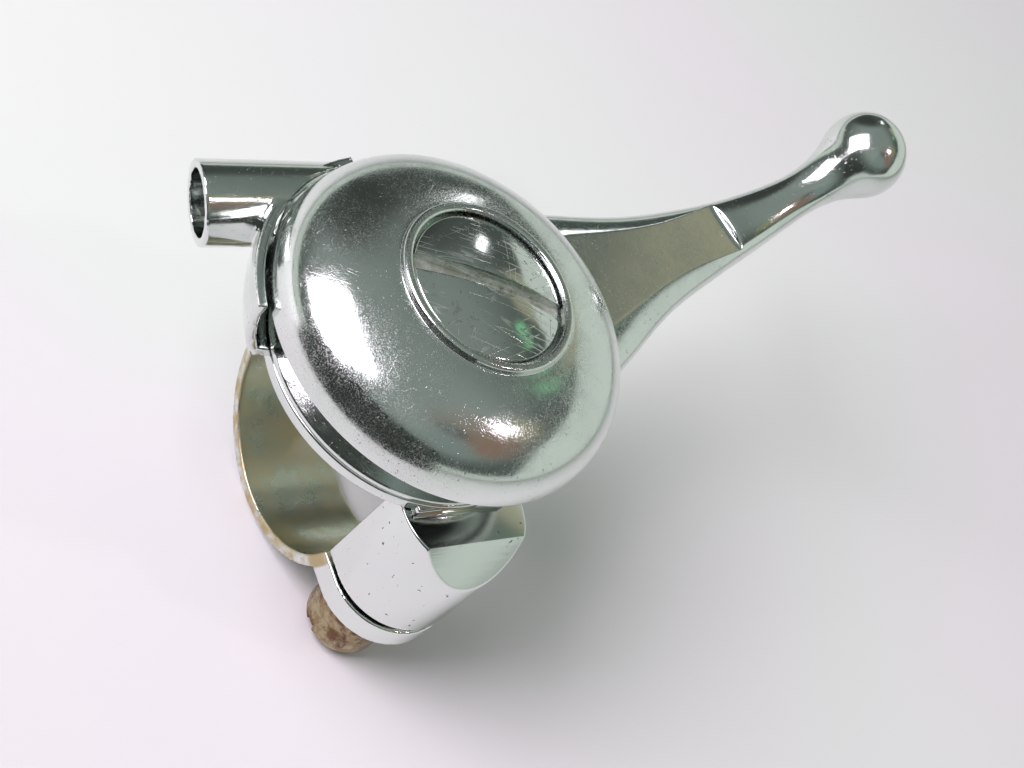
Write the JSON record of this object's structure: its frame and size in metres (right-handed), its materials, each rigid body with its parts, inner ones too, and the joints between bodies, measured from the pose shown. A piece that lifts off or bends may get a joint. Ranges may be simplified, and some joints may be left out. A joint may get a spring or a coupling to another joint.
{
  "type": "thumb shifter",
  "caption": "Friction thumb shifter for a handlebar: ball-ended lever under a domed cap with a slotted pivot screw, on a hinged round clamp with a cable stop.",
  "frame": {"origin": "on the handlebar's axis, straight below the lever's pivot axis", "axes": "+X along the handlebar, away from the cable stop; +Z along the lever's pivot axis, towards the domed cap"},
  "size_m": [0.0833, 0.0406, 0.0417],
  "materials": {
    "chrome": "worn bright chrome plate with fine scratches",
    "steel": "turned steel",
    "rusty_steel": "steel with brown rust",
    "bronze": "bearing bronze",
    "fibre": "red-brown vulcanised fibre"
  },
  "bodies": {
    "body": {"body": "chrome", "clamp_hinge_pin": "steel", "pivot_post": "steel", "lower_friction_washer": "fibre", "upper_friction_washer": "bronze", "disc_spring": "steel"},
    "lever": {"lever": "chrome", "lever_bush": "bronze"},
    "cap": {"dome_cap": "chrome", "pressure_collar": "steel"},
    "pivot_screw": {"pivot_screw": "chrome"},
    "strap": {"clamp_strap": "chrome"},
    "clamp_screw": {"clamp_screw": "rusty_steel"}
  },
  "joints": [
    {"name": "lever_swing", "type": "hinge", "parent": "body", "child": "lever", "pos_m": [0, 0, 0.0156], "axis": [0, 0, 1], "range_deg": [-75, 40]},
    {"name": "cap_settle", "type": "slide", "parent": "body", "child": "cap", "axis": [0, 0, 1], "range_m": [-0.00004, 0.0004]},
    {"name": "pivot_screw_turn", "type": "hinge", "parent": "cap", "child": "pivot_screw", "pos_m": [0, 0, 0.025], "axis": [0, 0, 1], "range_deg": [-15, 170]},
    {"name": "strap_swing", "type": "hinge", "parent": "body", "child": "strap", "pos_m": [0, 0.01345, -0.0009], "axis": [1, 0, 0], "range_deg": [-1.05, 2.05]},
    {"name": "clamp_screw_turn", "type": "hinge", "parent": "strap", "child": "clamp_screw", "pos_m": [0.0005, -0.0143, -0.008], "axis": [0, 0, 1], "range_deg": [-450, 225]}
  ],
  "couplings": [
    {"joint": "cap_settle", "follows": "pivot_screw_turn", "m_per_rad": 0.00012732},
    {"joint": "strap_swing", "follows": "clamp_screw_turn", "ratio": -0.0044753}
  ]
}
